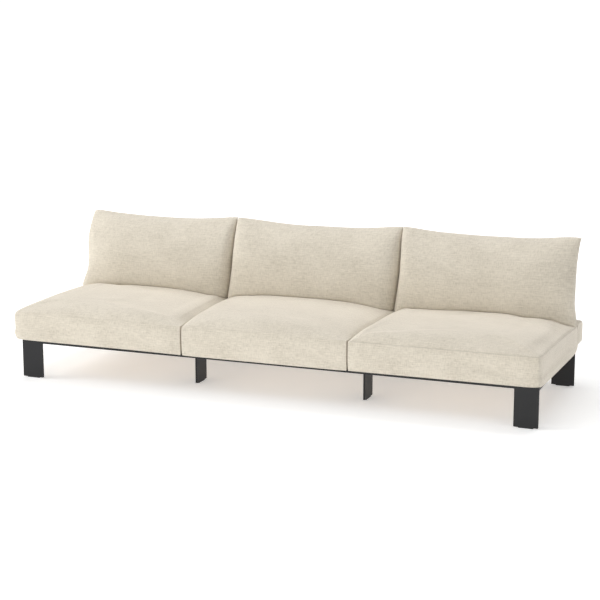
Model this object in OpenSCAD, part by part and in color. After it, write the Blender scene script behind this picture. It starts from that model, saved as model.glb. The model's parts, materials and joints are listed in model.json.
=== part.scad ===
// Armless three-seat sofa: a flat steel frame on plate legs, loose crowned seat
// cushions, leaning back cushions, an upholstered bolster and a steel back frame.
// Millimetres. +Z is up, +X is the sitter's left, and the front faces -Y. The
// origin is on the floor, under the middle of the whole sofa's box.

/* [Steel frame] */
// Length of the steel frame, end to end
frame_l = 2800; // [2400:10:3200]
// Depth of the steel frame, front edge to rear edge
frame_d = 860; // [780:5:940]
// Height of the frame's underside above the floor
clear_h = 190; // [150:1:240]
// Width of every flat bar of the frame
bar_w = 60; // [50:1:80]
// Thickness of every flat bar of the frame
bar_t = 12; // [10:1:16]
// Thickness of the ledge that carries the slats
ledge_t = 4; // [3:0.5:6]
// How far the ledge stands in from its rail
ledge_bite = 15; // [10:1:25]
// How far the ledge is welded under its rail
ledge_lap = 15; // [10:1:20]

/* [Legs] */
// Width of a leg plate
leg_w = 120; // [90:1:150]
// Thickness of a leg plate
leg_t = 10; // [8:1:14]
// Front edge of the frame to the near edge of a front middle leg
middle_leg_in = 189; // [120:1:240]
// Rear edge of the frame to the rear edge of a rear middle leg
rear_leg_in = 10; // [8:1:14]
// Length of the glide under a leg
glide_l = 75; // [50:1:86]
// Height of the glide under a leg
glide_h = 4; // [3:0.5:8]
// Radius of a leg plate's lower corners
leg_corner_r = 3; // [1:0.5:6]
// Length of the flange at the top of a leg
flange_l = 80; // [70:1:88]
// Depth of the flange at the top of a leg
flange_d = 50; // [40:1:50]
// Thickness of the flange at the top of a leg
flange_t = 6; // [5:1:10]
// Height of the gusset below the flange
gusset_h = 60; // [40:1:90]
// Reach of the gusset along the flange
gusset_reach = 40; // [25:1:40]
// Thickness of the gusset
gusset_t = 6; // [4:1:8]

/* [Fasteners] */
// Diameter of every bolt
bolt_d = 8; // [6:1:10]
// Width across the flats of a bolt's head
bolt_af = 13; // [10:1:16]
// Height of a bolt's head
bolt_head_h = 5.3; // [4:0.1:7]
// Distance of a corner leg's bolts from the leg's middle
leg_bolt_out = 24; // [20:1:28]
// How far a bolster screw goes into the bolster's core
screw_bite = 36; // [25:1:50]

/* [Slats] */
// Number of slats in each bay
slats_per_bay = 5; // [3:1:5]
// Width of a slat
slat_w = 90; // [60:1:110]
// Radius of a slat's long edges
slat_edge_r = 4; // [2:0.5:5]
// Clearance at each end of a slat
slat_clearance = 0.5; // [0.3:0.1:1.5]

/* [Back frame] */
// Width of a back post
post_w = 60; // [45:1:70]
// Thickness of a back post
post_t = 10; // [8:1:12]
// End of the frame to the middle of an outer back post
post_inset = 100; // [70:1:160]
// Length of a post's foot
foot_l = 118; // [110:1:125]
// Inner radius of the bend between a post and its foot
foot_bend_r = 10; // [6:1:14]
// Height of the post's knee above the frame
knee_h = 135; // [125:1:170]
// Inner radius of the knee
knee_r = 30; // [20:1:50]
// Lean of the back frame, degrees
back_lean = 14.5; // [8:0.5:16]
// Length of a post above its knee
post_rise = 350; // [320:5:370]
// Height of the back's top rail
top_rail_h = 50; // [40:1:60]
// Thickness of the back's top rail
top_rail_t = 8; // [6:1:10]
// Distance from a post's top to the top rail
top_rail_drop = 10; // [0:1:20]
// Reach of the top rail past an outer post
top_rail_over = 10; // [0:1:20]
// Height of the elastic straps
strap_h = 70; // [50:1:80]
// Thickness of the elastic straps
strap_t = 3; // [2:0.5:4]
// Length of the tail that folds round an outer post
strap_tail = 40; // [25:1:50]
// Height of the lower strap above the knee
strap_low = 55; // [40:1:70]
// Height of the upper strap above the knee
strap_high = 175; // [160:1:200]

/* [Bolster] */
// Depth of the bolster behind the back posts
bolster_d = 156; // [140:1:170]
// Height of the bolster
bolster_h = 118; // [100:1:125]
// Radius of the bolster's upper edges
bolster_r = 28; // [15:1:40]
// Radius of the bolster's lower edges
bolster_foot_r = 10; // [5:1:14]
// Reach of the bolster past each end of the frame
bolster_over = 4; // [0:1:20]
// Padding over the front, rear and ends of the bolster's core
bolster_pad = 26; // [18:1:32]
// Padding over the top of the bolster's core
bolster_top_pad = 34; // [25:1:45]
// Cover under the bolster's core
bolster_floor = 8; // [5:1:12]

/* [Seat cushions] */
// Distance from the seat cushions' rear to the frame's rear edge
seat_rear_in = 22; // [20:1:40]
// Reach of the seat cushions past the frame's front edge
seat_front_over = 12; // [6:1:25]
// Reach of the left seat cushion past the frame's end
seat_left_over = 58; // [10:1:70]
// Reach of the right seat cushion past the frame's end
seat_right_over = 10; // [10:1:70]
// How much further the row of seat cushions reaches at each end of its rear
seat_splay = 16; // [0:1:20]
// Height of a seat cushion at its top seam
seat_h = 148; // [120:1:170]
// Crown of a seat cushion above its top seam
seat_crown = 58; // [30:1:70]
// Droop of the top seam from the front to the rear
seat_droop = 14; // [0:1:25]
// How far a seat cushion's walls bulge past its seams
seat_bulge = 8; // [4:1:14]
// Rounding of the upright corners at the row's ends
seat_corner = 12; // [10:1:35]
// Rounding of the upright corners between neighbours
seat_joint_corner = 8; // [4:1:20]
// Width of the middle seat cushion at its front
middle_seat_front_w = 902; // [880:1:960]
// Width of the middle seat cushion at its rear
middle_seat_rear_w = 993; // [960:1:1010]
// Shift of the middle seat cushion's front to the left
middle_seat_front_shift = 9; // [0:1:20]
// Shift of the middle seat cushion's rear to the left
middle_seat_rear_shift = 31; // [0:1:40]
// Gap between neighbouring seat cushions
seat_gap = 1; // [0.6:0.1:4]
// Padding round the sides of a seat cushion's core
seat_pad = 62; // [50:1:80]
// Padding under a seat cushion's core
seat_floor = 20; // [15:1:30]
// Height of a seat cushion's core
seat_core_h = 112; // [80:1:116]

/* [Back cushions] */
// Height of a back cushion's corners above the knee, along its lean
back_h = 445; // [400:1:480]
// Sag of a back cushion's top edge between its corners
back_sag = 28; // [10:1:45]
// Depth of a back cushion where it stands on the seat
back_foot_d = 130; // [120:1:145]
// Extra depth of a back cushion's belly
back_belly = 65; // [30:1:75]
// Distance of the top seam in front of the back frame
back_seam_in = 30; // [20:1:50]
// How far neighbouring back cushions draw in between their corners
back_waist = 3; // [0:1:6]
// Drop of a back cushion's top corners as they round off
back_corner_drop = 11; // [4:1:16]
// Gap between neighbouring back cushions
back_gap = 9; // [6:0.5:14]
// Distance from the left end of the seat cushions to the back cushion's foot
back_left_in = 18; // [4:1:24]
// Distance from the right end of the seat cushions to the back cushion's foot
back_right_in = 4; // [4:1:24]
// Thickness of a back cushion's core
back_core_t = 64; // [50:1:68]
// Distance from the back frame to a back cushion's core
back_core_in = 27; // [22:1:32]
// Height of the core's lower edge above the knee
back_core_low = 75; // [70:1:90]
// Height of the core's upper edge above the knee
back_core_high = 315; // [280:1:320]
// Distance from a back cushion's side to its core
back_core_side = 100; // [90:1:120]

/* [Fit] */
// Gap between a soft piece and what it lies against
soft_gap = 0.3; // [0.3:0.1:1]
// Clearance round a bolt in its hole
bolt_clearance = 0.2; // [0.1:0.05:0.5]
// Clearance round a core in its cover
core_clearance = 0.3; // [0.2:0.1:1]

/* [Hidden] */
steel = [0.21, 0.21, 0.22];
beech = [0.80, 0.66, 0.47];
linen = [0.85, 0.81, 0.73];
foam = [0.93, 0.90, 0.76];
nylon = [0.10, 0.10, 0.10];
zinc = [0.68, 0.69, 0.70];
elastic = [0.16, 0.16, 0.17];

BAYS = ["left", "middle", "right"];

$fn = 32;
overrun = 1;
bolt_fn = 6;

// Levels
deck_z = clear_h + bar_t;
flange_z = clear_h - flange_t;
bolster_z = deck_z + post_t + soft_gap;
seat_z = deck_z + soft_gap;

// Depths, from the frame's front edge
seat_rear = frame_d - seat_rear_in;
seat_d = seat_rear + seat_front_over;
post_gap = 4;
post_y = seat_rear + post_gap;
bolster_y = post_y + post_t + post_gap;
bracket_over = 22;
bracket_y = frame_d;
bracket_d = bolster_y + bolster_d - bracket_over - bracket_y;
foot_hole_pitch = 30;
foot_hole_in = 20;
MIDDLE_LEG_Y = [middle_leg_in + leg_w / 2, frame_d - rear_leg_in - leg_w / 2];

// Places along the frame, from its middle
end_x = frame_l / 2;
cross_x = frame_l / 6;
post_x = end_x - post_inset;
POSTS = [-post_x, -cross_x, cross_x, post_x];
bay_low = [-end_x + bar_w, -cross_x + bar_w / 2, cross_x + bar_w / 2];
bay_high = [-cross_x - bar_w / 2, cross_x - bar_w / 2, end_x - bar_w];

// The frame's place in the whole sofa's box
mid_x = (seat_left_over - seat_right_over) / 2;
front_y = (seat_front_over - bolster_y - bolster_d) / 2;

// The back frame's own axes start at the front face of a post, just above its knee
knee_out_r = knee_r + post_t;
knee_steps = 6;
heel_steps = 10;
lean_y = post_y + knee_out_r * (1 - cos(back_lean));
lean_z = deck_z + knee_h + knee_out_r * sin(back_lean);

// Seat cushions: side lines at the front and at the rear, from the frame's middle
seat_front_x = [
    -end_x - seat_left_over,
    -middle_seat_front_shift - middle_seat_front_w / 2,
    -middle_seat_front_shift + middle_seat_front_w / 2,
    end_x + seat_right_over
];
seat_rear_x = [
    -end_x - seat_left_over - seat_splay,
    -middle_seat_rear_shift - middle_seat_rear_w / 2,
    -middle_seat_rear_shift + middle_seat_rear_w / 2,
    end_x + seat_right_over + seat_splay
];
seat_us = 16;
seat_vs = 14;
// Squareness of each cushion's crown towards its left and right side
seat_powers = [[5.5, 3], [10, 3], [10, 3]];
seat_depth_power = 5;
seat_round = 0.75;
corner_power = 12;
// Share of the bulge that is left on a side that a neighbour presses
seat_joint_share = 0.3;
// Height shares and bulge shares of the rings up a seat cushion's walls
wall_height_shares = [0, 0.06, 0.22, 0.5, 0.78, 0.94];
wall_bulge_shares = [-0.5, 0.15, 0.75, 1, 0.75, 0.25];

// Back cushions: their own grid and section
back_us = 18;
back_rows = 11;
back_root = -30;
back_side_power = 4;
back_joint_power = 12;
// Share of the rounding of a top corner where neighbours meet
back_joint_corner_share = 0.5;
// The row's two ends: how far each draws in above its foot, comes out again, and rounds off at the top
back_foot_in = [41, 15];
back_head_out = [24, -9];
back_corner_in = [4, -6];
back_foot_share = 0.3;
back_head_share = 0.5;
// Shift of each cushion's two top corners along the row, as shares of its height
back_top_shares = [[0, -0.02], [-0.02, -0.03], [-0.03, 0]];
back_sag_power = 2.4;
back_top_power = 2.2;
back_top_round = 0.6;
back_flat_share = 0.72;

// Common transforms and shapes

module on_frame() {
    translate([mid_x, front_y, 0])
        children();
}

module on_back() {
    translate([0, lean_y, lean_z])
        rotate([-back_lean, 0, 0])
            children();
}

module flat_bar(x, y, z, size_x, size_y, size_z) {
    translate([x, y, z])
        cube([size_x, size_y, size_z]);
}

module hole(x, y, z, height) {
    translate([x, y, z - overrun])
        cylinder(d = bolt_d + 2 * bolt_clearance, h = height + 2 * overrun);
}

// A bolt that enters from below, with its head under z
module bolt(x, y, z, length) {
    translate([x, y, z - bolt_head_h])
        cylinder(d = bolt_af / cos(30), h = bolt_head_h, $fn = bolt_fn);
    translate([x, y, z - bolt_head_h / 2])
        cylinder(d = bolt_d, h = length + bolt_head_h / 2);
}

// Outline of a rectangle from the origin, with one radius below and another above
module rounded_outline(width, height, low_r, high_r) {
    translate([low_r, 0])
        square([width - 2 * low_r, height - high_r]);
    translate([0, low_r])
        square([width, height - low_r - high_r]);
    translate([high_r, low_r])
        square([width - 2 * high_r, height - low_r]);
    for (x = [low_r, width - low_r])
        translate([x, low_r])
            circle(r = low_r);
    for (x = [high_r, width - high_r])
        translate([x, height - high_r])
            circle(r = high_r);
}

// Steel frame

function leg_bolt_x(side) = [for (k = [-1, 1]) side * (end_x - leg_w / 2) + k * leg_bolt_out];
middle_bolt_out = (leg_t / 2 + bar_w / 2) / 2;
leg_bolt_y = leg_t + flange_d / 2;

// A long rail with its front edge at y; inward is 1 where the slats lie behind it
module long_rail(y, inward, bolt_y) {
    ledge_y = inward > 0 ? bar_w - ledge_lap : -ledge_bite;
    difference() {
        union() {
            flat_bar(-end_x, y, clear_h, frame_l, bar_w, bar_t);
            for (bay = [0:2]) {
                low = max(bay_low[bay], -end_x + leg_w);
                high = min(bay_high[bay], end_x - leg_w);
                flat_bar(
                    low, y + ledge_y, clear_h - ledge_t,
                    high - low, ledge_lap + ledge_bite, ledge_t
                );
            }
        }
        for (side = [-1, 1])
            for (x = leg_bolt_x(side))
                hole(x, bolt_y, clear_h, bar_t);
    }
}

module front_rail() {
    color(steel)
        on_frame()
            long_rail(0, 1, leg_bolt_y);
}

module rear_rail() {
    color(steel)
        on_frame()
            long_rail(frame_d - bar_w, -1, frame_d - leg_bolt_y);
}

module end_bar(side) {
    x = side > 0 ? end_x - bar_w : -end_x;
    color(steel)
        on_frame()
            flat_bar(x, bar_w, clear_h, bar_w, frame_d - 2 * bar_w, bar_t);
}

module cross_bar(side) {
    color(steel)
        on_frame()
            difference() {
                flat_bar(
                    side * cross_x - bar_w / 2, bar_w, clear_h,
                    bar_w, frame_d - 2 * bar_w, bar_t
                );
                for (y = MIDDLE_LEG_Y)
                    for (k = [-1, 1])
                        hole(side * cross_x + k * middle_bolt_out, y, clear_h, bar_t);
            }
}

module bolster_bracket(i) {
    color(steel)
        on_frame()
            difference() {
                flat_bar(POSTS[i] - bar_w / 2, bracket_y, clear_h, bar_w, bracket_d, bar_t);
                for (k = [0:2])
                    hole(POSTS[i], bracket_y + foot_hole_in + k * foot_hole_pitch, clear_h, bar_t);
            }
}

// Legs

// A leg plate that stands on the XZ plane, centred on x
module leg_plate() {
    translate([-leg_w / 2, leg_t, glide_h])
        rotate([90, 0, 0])
            linear_extrude(height = leg_t)
                difference() {
                    square([leg_w, clear_h - glide_h]);
                    for (side = [0, 1])
                        translate([side * leg_w, 0])
                            mirror([side, 0, 0])
                                difference() {
                                    translate([-overrun, -overrun])
                                        square(leg_corner_r + overrun);
                                    translate([leg_corner_r, leg_corner_r])
                                        circle(r = leg_corner_r);
                                }
                }
}

// The corner leg that stands at the front, its plate flush with the frame's front edge
module corner_leg_form() {
    leg_plate();
    difference() {
        flat_bar(-flange_l / 2, leg_t, flange_z, flange_l, flange_d, flange_t);
        for (k = [-1, 1])
            hole(k * leg_bolt_out, leg_bolt_y, flange_z, flange_t);
    }
    translate([-gusset_t / 2, leg_t, flange_z])
        rotate([90, 0, 90])
            linear_extrude(height = gusset_t)
                polygon([[0, 0], [gusset_reach, 0], [0, -gusset_h]]);
}

module corner_leg(side, rear) {
    color(steel)
        on_frame()
            translate([side * (end_x - leg_w / 2), rear * frame_d, 0])
                mirror([0, rear, 0])
                    corner_leg_form();
}

// The middle leg stands square to the corner legs, under a cross bar
module middle_leg(side, rear) {
    color(steel)
        on_frame()
            translate([side * cross_x, MIDDLE_LEG_Y[rear], 0]) {
                translate([leg_t / 2, 0, 0])
                    rotate([0, 0, 90])
                        leg_plate();
                difference() {
                    flat_bar(-bar_w / 2, -flange_l / 2, flange_z, bar_w, flange_l, flange_t);
                    for (k = [-1, 1])
                        hole(k * middle_bolt_out, 0, flange_z, flange_t);
                }
            }
}

module glide() {
    translate([0, leg_t / 2, 0])
        linear_extrude(height = glide_h)
            union() {
                square([glide_l - leg_t, leg_t], center = true);
                for (k = [-1, 1])
                    translate([k * (glide_l - leg_t) / 2, 0])
                        circle(d = leg_t);
            }
}

module glides() {
    color(nylon)
        on_frame() {
            for (side = [-1, 1])
                for (y = [0, frame_d - leg_t])
                    translate([side * (end_x - leg_w / 2), y, 0])
                        glide();
            for (side = [-1, 1])
                for (y = MIDDLE_LEG_Y)
                    translate([side * cross_x + leg_t / 2, y, 0])
                        rotate([0, 0, 90])
                            glide();
        }
}

module leg_bolts() {
    bolt_l = flange_t + bar_t - overrun;
    color(zinc)
        on_frame() {
            for (side = [-1, 1])
                for (y = [leg_bolt_y, frame_d - leg_bolt_y])
                    for (x = leg_bolt_x(side))
                        bolt(x, y, flange_z, bolt_l);
            for (side = [-1, 1])
                for (y = MIDDLE_LEG_Y)
                    for (k = [-1, 1])
                        bolt(side * cross_x + k * middle_bolt_out, y, flange_z, bolt_l);
        }
}

// Slats

module slat(bay, i) {
    pitch = (bay_high[bay] - bay_low[bay]) / slats_per_bay;
    slat_l = frame_d - 2 * bar_w - 2 * slat_clearance;
    color(beech)
        on_frame()
            translate([bay_low[bay] + (i - 0.5) * pitch - slat_w / 2, bar_w + slat_clearance + slat_l, clear_h])
                rotate([90, 0, 0])
                    linear_extrude(height = slat_l)
                        rounded_outline(slat_w, bar_t, slat_edge_r, slat_edge_r);
}

// Back frame

// Points on an arc round [x, y] from one angle to another
function arc(x, y, r, from, to, steps) =
    [for (i = [0:steps]) let (a = from + (to - from) * i / steps) [x + r * cos(a), y + r * sin(a)]];

// Side view of a post, rearwards and upwards from its heel on the frame
module post_outline() {
    heel_r = foot_bend_r + post_t;
    rise = post_rise * [sin(back_lean), cos(back_lean)];
    front = concat(
        arc(heel_r, heel_r, heel_r, 270, 180, heel_steps),
        arc(knee_out_r, knee_h, knee_out_r, 180, 180 - back_lean, knee_steps)
    );
    rear = concat(
        arc(knee_out_r, knee_h, knee_r, 180 - back_lean, 180, knee_steps),
        arc(heel_r, heel_r, foot_bend_r, 180, 270, heel_steps)
    );
    polygon(concat(
        [[foot_l, 0]],
        front,
        [front[len(front) - 1] + rise, rear[0] + rise],
        rear,
        [[foot_l, post_t]]
    ));
}

module back_post(i) {
    color(steel)
        on_frame()
            difference() {
                translate([POSTS[i] - post_w / 2, post_y, deck_z])
                    rotate([90, 0, 90])
                        linear_extrude(height = post_w)
                            post_outline();
                for (k = [0:2])
                    hole(POSTS[i], bracket_y + foot_hole_in + k * foot_hole_pitch, deck_z, post_t);
            }
}

module post_bolts() {
    color(zinc)
        on_frame()
            for (x = POSTS)
                for (k = [0:1])
                    bolt(x, bracket_y + foot_hole_in + k * foot_hole_pitch, clear_h, bar_t + post_t - overrun);
}

module back_top_rail() {
    rail_half = post_x + post_w / 2 + top_rail_over;
    color(steel)
        on_frame()
            on_back()
                flat_bar(
                    -rail_half, -top_rail_t, post_rise - top_rail_drop - top_rail_h,
                    2 * rail_half, top_rail_t, top_rail_h
                );
}

// One strap across all the posts, its ends folded round the outer ones
module back_strap(height) {
    post_edge = post_x + post_w / 2;
    color(elastic)
        on_frame()
            on_back()
                translate([0, 0, height])
                    linear_extrude(height = strap_h) {
                        translate([-post_edge - strap_t, -strap_t])
                            square([2 * (post_edge + strap_t), strap_t]);
                        for (side = [0, 1])
                            mirror([side, 0, 0]) {
                                translate([post_edge, -strap_t])
                                    square([strap_t, post_t + 2 * strap_t]);
                                translate([post_edge + strap_t - strap_tail, post_t])
                                    square([strap_tail, strap_t]);
                            }
                    }
}

// Bolster

bolster_half = end_x + bolster_over;
bolster_core_d = bolster_d - 2 * bolster_pad;
bolster_core_h = bolster_h - bolster_floor - bolster_top_pad;
bolster_core_z = bolster_z + bolster_floor;

module bolster_core_form(grow) {
    flat_bar(
        -bolster_half + bolster_pad - grow, bolster_y + bolster_pad - grow, bolster_core_z - grow,
        2 * (bolster_half - bolster_pad + grow), bolster_core_d + 2 * grow, bolster_core_h + 2 * grow
    );
}

module bolster_holes() {
    for (x = POSTS)
        hole(
            x, bracket_y + foot_hole_in + 2 * foot_hole_pitch, bolster_z,
            bolster_core_z - bolster_z + screw_bite
        );
}

module bolster_core() {
    color(beech)
        on_frame()
            difference() {
                bolster_core_form(0);
                bolster_holes();
            }
}

module bolster_cover() {
    color(linen)
        on_frame()
            difference() {
                translate([-bolster_half, bolster_y, bolster_z])
                    rotate([90, 0, 90])
                        linear_extrude(height = 2 * bolster_half)
                            rounded_outline(bolster_d, bolster_h, bolster_foot_r, bolster_r);
                bolster_core_form(core_clearance);
                bolster_holes();
            }
}

module bolster_screws() {
    screw_l = bolster_core_z - clear_h + screw_bite;
    color(zinc)
        on_frame()
            for (x = POSTS)
                bolt(x, bracket_y + foot_hole_in + 2 * foot_hole_pitch, clear_h, screw_l);
}

// The two triangles of a patch whose corners run a, b, c, d; slant picks the diagonal from a to c
function halves(a, b, c, d, slant) = slant ? [[a, b, c], [a, c, d]] : [[a, b, d], [b, c, d]];

// Seat cushions

function signum(t) = t < 0 ? -1 : 1;

// Even steps from -1 to 1, drawn towards both ends
function spread(steps) = [for (i = [0:steps]) sin(90 * (2 * i / steps - 1))];

SEAT_U = spread(seat_us);
SEAT_V = spread(seat_vs);

// Side line of cushion k at the share v of its depth, less the gap to its neighbour
function seat_side(i, v) = let (t = (v + 1) / 2) seat_front_x[i] * (1 - t) + seat_rear_x[i] * t;
function seat_low_x(k, v) = seat_side(k, v) + (k > 0 ? seat_gap / 2 : 0);
function seat_high_x(k, v) = seat_side(k + 1, v) - (k < 2 ? seat_gap / 2 : 0);

// Neighbours press each other's sides fuller and straighter than the row's two ends
function at_row_end(k, u) = (k == 0 && u < 0) || (k == 2 && u > 0);

// Plan point of cushion k, drawn in by inset, with softly rounded corners
function seat_plan(k, u, v, inset) =
    let (
        low = seat_low_x(k, v) + inset * (k > 0 ? seat_joint_share : 1),
        high = seat_high_x(k, v) - inset * (k < 2 ? seat_joint_share : 1),
        corner = at_row_end(k, u) ? seat_corner : seat_joint_corner,
        pull = corner * pow(abs(u * v), corner_power)
    ) [
        low + (high - low) * (u + 1) / 2 - signum(u) * pull,
        -seat_front_over + inset + (seat_d - 2 * inset) * (v + 1) / 2 - signum(v) * pull
    ];

function seat_seam_z(v) = seat_z + seat_h - seat_droop * pow((v + 1) / 2, 2);

function seat_top_z(k, u, v) =
    seat_seam_z(v)
    + seat_crown
        * pow(1 - pow(abs(u), seat_powers[k][u < 0 ? 0 : 1]), seat_round)
        * pow(1 - pow(abs(v), seat_depth_power), seat_round);

// The loop of [u, v] pairs round the edge of the grid
EDGE_UV = concat(
    [for (i = [0:seat_us - 1]) [SEAT_U[i], -1]],
    [for (j = [0:seat_vs - 1]) [1, SEAT_V[j]]],
    [for (i = [seat_us:-1:1]) [SEAT_U[i], 1]],
    [for (j = [seat_vs:-1:1]) [-1, SEAT_V[j]]]
);
edge_n = len(EDGE_UV);
rings = len(wall_height_shares);

function seat_wall_point(k, ring, e) =
    let (
        uv = EDGE_UV[e],
        plan = seat_plan(k, uv[0], uv[1], seat_bulge * (1 - wall_bulge_shares[ring])),
        height = (seat_seam_z(uv[1]) - seat_z) * wall_height_shares[ring]
    ) [plan[0], plan[1], seat_z + height];

function seat_points(k) = concat(
    [for (ring = [0:rings - 1]) for (e = [0:edge_n - 1]) seat_wall_point(k, ring, e)],
    [for (v = SEAT_V) for (u = SEAT_U)
        let (plan = seat_plan(k, u, v, seat_bulge))
            [plan[0], plan[1], seat_top_z(k, u, v)]]
);

top_start = rings * edge_n;
function top_index(i, j) = top_start + j * (seat_us + 1) + i;
function edge_top_index(e) =
    e < seat_us ? top_index(e, 0)
    : e < seat_us + seat_vs ? top_index(seat_us, e - seat_us)
    : e < 2 * seat_us + seat_vs ? top_index(2 * seat_us + seat_vs - e, seat_vs)
    : top_index(0, edge_n - e);
function ring_index(ring, e) =
    ring < rings ? ring * edge_n + e % edge_n : edge_top_index(e % edge_n);

SEAT_FACES = concat(
    [[for (e = [0:edge_n - 1]) e]],
    [for (ring = [0:rings - 1]) for (e = [0:edge_n - 1])
        for (face = halves(
            ring_index(ring, e), ring_index(ring + 1, e),
            ring_index(ring + 1, e + 1), ring_index(ring, e + 1), true
        )) face],
    [for (j = [0:seat_vs - 1]) for (i = [0:seat_us - 1])
        for (face = halves(
            top_index(i, j), top_index(i, j + 1),
            top_index(i + 1, j + 1), top_index(i + 1, j), (i < seat_us / 2) == (j < seat_vs / 2)
        )) face]
);

module seat_form(k) {
    polyhedron(points = seat_points(k), faces = SEAT_FACES);
}

module seat_core_form(k, grow) {
    low = max(seat_low_x(k, -1), seat_low_x(k, 1)) + seat_pad;
    high = min(seat_high_x(k, -1), seat_high_x(k, 1)) - seat_pad;
    flat_bar(
        low - grow, -seat_front_over + seat_pad - grow, seat_z + seat_floor - grow,
        high - low + 2 * grow, seat_d - 2 * seat_pad + 2 * grow, seat_core_h + 2 * grow
    );
}

module seat_cushion(k) {
    color(linen)
        on_frame()
            difference() {
                seat_form(k);
                seat_core_form(k, core_clearance);
            }
}

module seat_core(k) {
    color(foam)
        on_frame()
            seat_core_form(k, 0);
}

// Back cushions

// The back cushions part above the rear half of the seat cushions' joints
back_part_v = 0.7;
BACK_PARTS = [for (i = [0:3]) seat_side(i, back_part_v)];
function back_low_x(k) = BACK_PARTS[k] + (k > 0 ? back_gap / 2 : back_left_in);
function back_high_x(k) = BACK_PARTS[k + 1] - (k < 2 ? back_gap / 2 : back_right_in);

BACK_U = spread(back_us);
BACK_ROWS = [for (j = [0:back_rows]) sin(90 * j / back_rows)];

// Depth from the cushion's flat rear plane to its front, at the share t of its height
function back_depth(t) =
    back_seam_in
    + pow(1 - pow(t, back_top_power), back_top_round)
        * (back_foot_d - back_seam_in + back_belly * sin(180 * t));

function back_rear_in(t) =
    t <= back_flat_share ? 0 : back_seam_in * pow((t - back_flat_share) / (1 - back_flat_share), 2);

// A smooth rise from 0 to 1
function ease(t) = let (c = min(1, max(0, t))) c * c * (3 - 2 * c);

// Point of cushion k at [u, t], with face -1 at its front and 1 at its rear
function back_point(k, u, t, face) =
    let (
        front = back_depth(t),
        rear = back_rear_in(t),
        seam = (front + rear) / 2,
        power = at_row_end(k, u) ? back_side_power : back_joint_power,
        full = pow(1 - pow(abs(u), power), 0.5),
        depth = seam + (face < 0 ? front - seam : rear - seam) * full,
        low = back_low_x(k) + back_top_shares[k][0] * back_h * t,
        high = back_high_x(k) + back_top_shares[k][1] * back_h * t,
        end = u < 0 ? 0 : 1,
        waist = at_row_end(k, u)
            ? back_foot_in[end] * ease(t / back_foot_share)
                - back_head_out[end] * ease((t - back_foot_share) / back_head_share)
            : back_waist * 4 * t * (1 - t),
        top = back_h - back_sag * (1 - pow(abs(u), back_sag_power)),
        corner = (at_row_end(k, u) ? 1 : back_joint_corner_share) * pow(abs(u) * t, corner_power)
    ) [
        (low + high + (high - low) * u) / 2
            - signum(u) * (waist * pow(abs(u), power) + back_corner_in[end] * corner),
        -top_rail_t - soft_gap - depth,
        back_root + (top - back_root) * t - back_corner_drop * corner
    ];

front_count = (back_us + 1) * (back_rows + 1);
function front_index(i, j) = j * (back_us + 1) + i;

// The rear face has its own points only away from the side seams and the top seam
function rear_index(i, j) =
    i == 0 || i == back_us || j == back_rows
    ? front_index(i, j)
    : front_count + j * (back_us - 1) + i - 1;

function back_points(k) = concat(
    [for (t = BACK_ROWS) for (u = BACK_U) back_point(k, u, t, -1)],
    [for (j = [0:back_rows - 1]) for (i = [1:back_us - 1]) back_point(k, BACK_U[i], BACK_ROWS[j], 1)]
);

// Triangles that repeat a point are left out
function sound(face) = face[0] != face[1] && face[1] != face[2] && face[2] != face[0];

// The diagonals lean towards the top corners, where the front and the rear share their seam
BACK_FACES = [
    for (i = [0:back_us - 1])
        for (patch = concat(
            [for (j = [0:back_rows - 1]) [
                front_index(i, j), front_index(i, j + 1),
                front_index(i + 1, j + 1), front_index(i + 1, j)
            ]],
            [for (j = [0:back_rows - 1]) [
                rear_index(i, j), rear_index(i + 1, j),
                rear_index(i + 1, j + 1), rear_index(i, j + 1)
            ]],
            [[front_index(i, 0), front_index(i + 1, 0), rear_index(i + 1, 0), rear_index(i, 0)]]
        ))
            for (face = halves(patch[0], patch[1], patch[2], patch[3], i >= back_us / 2))
                if (sound(face)) face
];

module back_core_form(k, grow) {
    low = back_low_x(k) + back_core_side;
    high = back_high_x(k) - back_core_side;
    on_back()
        flat_bar(
            low - grow, -top_rail_t - back_core_in - back_core_t - grow, back_core_low - grow,
            high - low + 2 * grow, back_core_t + 2 * grow, back_core_high - back_core_low + 2 * grow
        );
}

// The cushion's foot is moulded to the crown of the seat cushion under it
module back_cushion(k) {
    color(linen)
        on_frame()
            difference() {
                on_back()
                    polyhedron(points = back_points(k), faces = BACK_FACES);
                translate([0, 0, soft_gap])
                    seat_form(k);
                back_core_form(k, core_clearance);
            }
}

module back_core(k) {
    color(foam)
        on_frame()
            back_core_form(k, 0);
}

front_rail();
rear_rail();
end_bar(-1);  // left_end_bar
end_bar(1);  // right_end_bar
cross_bar(-1);  // left_cross_bar
cross_bar(1);  // right_cross_bar
corner_leg(-1, 0);  // front_left_leg
corner_leg(1, 0);  // front_right_leg
corner_leg(-1, 1);  // rear_left_leg
corner_leg(1, 1);  // rear_right_leg
middle_leg(-1, 0);  // front_left_middle_leg
middle_leg(1, 0);  // front_right_middle_leg
middle_leg(-1, 1);  // rear_left_middle_leg
middle_leg(1, 1);  // rear_right_middle_leg
glides();
leg_bolts();
for (bay = [0:2])
    for (i = [1:slats_per_bay])
        slat(bay, i);
for (i = [0:3])
    bolster_bracket(i);
for (i = [0:3])
    back_post(i);
post_bolts();
back_top_rail();
back_strap(strap_low);  // lower_back_strap
back_strap(strap_high);  // upper_back_strap
bolster_core();
bolster_cover();
bolster_screws();
for (k = [0:2])
    seat_cushion(k);
for (k = [0:2])
    seat_core(k);
for (k = [0:2])
    back_cushion(k);
for (k = [0:2])
    back_core(k);
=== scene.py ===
import json
import math

import bpy
import numpy as np
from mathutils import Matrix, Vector
from mathutils.bvhtree import BVHTree


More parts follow.
